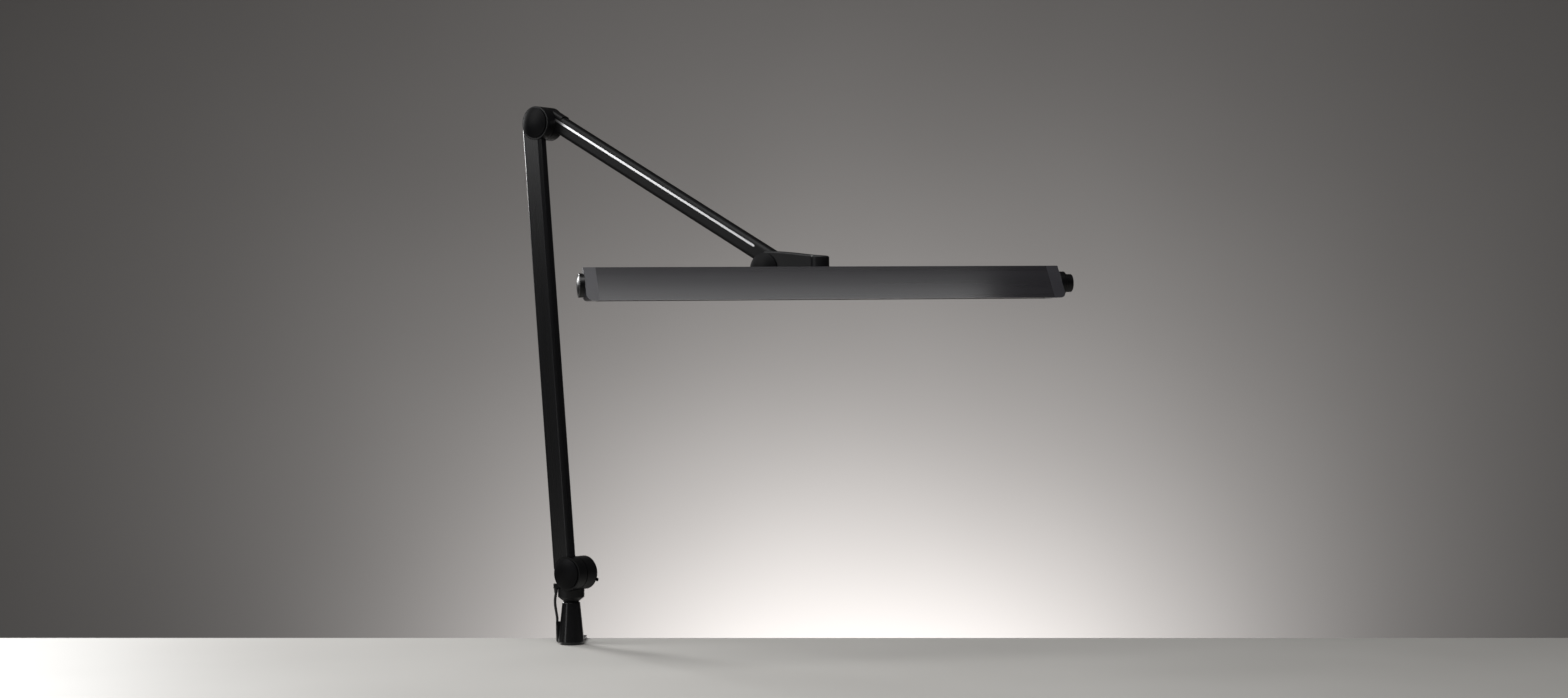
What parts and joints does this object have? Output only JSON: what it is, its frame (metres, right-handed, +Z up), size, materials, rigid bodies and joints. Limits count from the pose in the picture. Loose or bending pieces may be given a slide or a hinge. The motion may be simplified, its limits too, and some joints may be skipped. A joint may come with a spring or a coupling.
{
  "type": "clamp-mounted task lamp",
  "caption": "Black clamp-mounted desk lamp with two balanced arms on friction joints and a long slanted light bar with a power button and a dimmer knob.",
  "frame": {"origin": "on the desk top, under the upper jaw's pad, on the post's vertical axis", "axes": "+X to the right along the desk's back edge, +Y towards the desk's back edge, +Z up along the post"},
  "size_m": [0.5973, 0.3987, 0.6986],
  "materials": {
    "clamp_steel": "satin black powder coat",
    "post_black": "turned, satin black coat",
    "arm_black": "extrusion, satin black coat",
    "cap_black": "fine moulded texture",
    "head_grey": "extrusion, dark grey satin coat",
    "end_grey": "dark grey moulded",
    "gloss_black": "polished moulding",
    "joint_black": "die casting, satin black paint",
    "steel": "zinc plated",
    "spring_steel": "drawn wire, oiled",
    "rubber": "matt",
    "cord_black": "soft PVC jacket",
    "nylon": "natural nylon",
    "trim_silver": "brushed, clear anodised",
    "diffuser_white": "frosted sheet",
    "plate_aluminium": "mill finish",
    "board_white": "white solder mask",
    "led_yellow": "phosphor lens"
  },
  "bodies": {
    "clamp_base": {"clamp_bracket": "clamp_steel", "clamp_top_pad": "rubber", "post_sleeve": "post_black", "post_bolt": "steel", "swivel_bush": "nylon", "cable_clip": "cap_black", "cord_lower": "cord_black", "cord_coil": "cord_black", "cord_tail": "cord_black", "cord_tie": "rubber", "cord_plug": "cord_black"},
    "jaw_foot": {"clamp_foot": "clamp_steel", "clamp_foot_pad": "rubber"},
    "jaw_screw": {"clamp_screw": "steel", "clamp_knob": "cap_black"},
    "swivel": {"shoulder_yoke": "joint_black", "swivel_spindle": "steel", "thrust_washer": "cap_black", "cord_gland": "rubber", "cord_upper": "cord_black", "shoulder_rear_cap": "cap_black"},
    "lower_arm": {"lower_arm_foot": "joint_black", "lower_arm_head": "joint_black", "lower_arm_tube": "arm_black", "lower_spring": "spring_steel", "lower_spring_hangers": "steel", "shoulder_axle": "steel", "shoulder_front_cap": "cap_black", "shoulder_washer": "nylon", "elbow_axle": "steel", "elbow_front_cap": "cap_black", "elbow_washer": "nylon"},
    "upper_arm": {"upper_arm_foot": "joint_black", "upper_arm_head": "joint_black", "upper_arm_tube": "arm_black", "upper_arm_trim": "trim_silver", "upper_spring": "spring_steel", "upper_spring_hangers": "steel", "elbow_rear_cap": "cap_black", "head_rear_cap": "cap_black"},
    "neck": {"head_neck": "joint_black", "head_front_cap": "cap_black", "head_washer": "nylon", "head_axle": "steel"},
    "head": {"head_housing": "head_grey", "left_end_cap": "end_grey", "right_end_cap": "end_grey", "left_end_bezel": "gloss_black", "dimmer_collar": "gloss_black", "dimmer_control": "cap_black", "led_carrier": "plate_aluminium", "led_board": "board_white", "led_chips": "led_yellow", "diffuser": "diffuser_white", "head_bracket": "joint_black", "bracket_screws": "steel", "head_pivot_pin": "steel", "head_swivel_washer": "nylon"},
    "button": {"power_button": "gloss_black"},
    "dimmer": {"dimmer_knob": "gloss_black"}
  },
  "joints": [
    {"name": "clamp_travel", "type": "slide", "parent": "clamp_base", "child": "jaw_foot", "axis": [0, 0, 1], "range_m": [-0.0075, 0.0075]},
    {"name": "screw_spin", "type": "hinge", "parent": "jaw_foot", "child": "jaw_screw", "pos_m": [0, 0.006, -0.06], "axis": [0, 0, 1], "range_deg": [-2160, 2160]},
    {"name": "base_swivel", "type": "hinge", "parent": "clamp_base", "child": "swivel", "pos_m": [0, 0, 0.05], "axis": [0, 0, 1], "range_deg": [-150, 150]},
    {"name": "shoulder_tilt", "type": "hinge", "parent": "swivel", "child": "lower_arm", "pos_m": [0.00518, -0.00376, 0.0784], "axis": [-0.5878, -0.809, 0], "range_deg": [-75, 35]},
    {"name": "elbow_tilt", "type": "hinge", "parent": "lower_arm", "child": "upper_arm", "pos_m": [-0.03225, 0.02343, 0.57425], "axis": [-0.5878, -0.809, 0], "range_deg": [-30, 85]},
    {"name": "head_tilt", "type": "hinge", "parent": "upper_arm", "child": "neck", "pos_m": [0.22207, -0.16135, 0.40675], "axis": [-0.5878, -0.809, 0], "range_deg": [-70, 60]},
    {"name": "head_swivel", "type": "hinge", "parent": "neck", "child": "head", "pos_m": [0.27079, -0.20725, 0.40779], "axis": [-0.0127, 0.0092, 0.9999], "range_deg": [-15, 85]},
    {"name": "button_press", "type": "slide", "parent": "head", "child": "button", "axis": [0.9755, 0.2199, 0.0104], "range_m": [0, 0.0012], "stiffness_N_per_m": 400},
    {"name": "dimmer_turn", "type": "hinge", "parent": "head", "child": "dimmer", "pos_m": [0.51719, -0.17632, 0.39243], "axis": [0.9755, 0.2199, 0.0104], "range_deg": [-135, 135]}
  ],
  "couplings": [
    {"joint": "screw_spin", "follows": "clamp_travel", "rad_per_m": 5026.5}
  ]
}
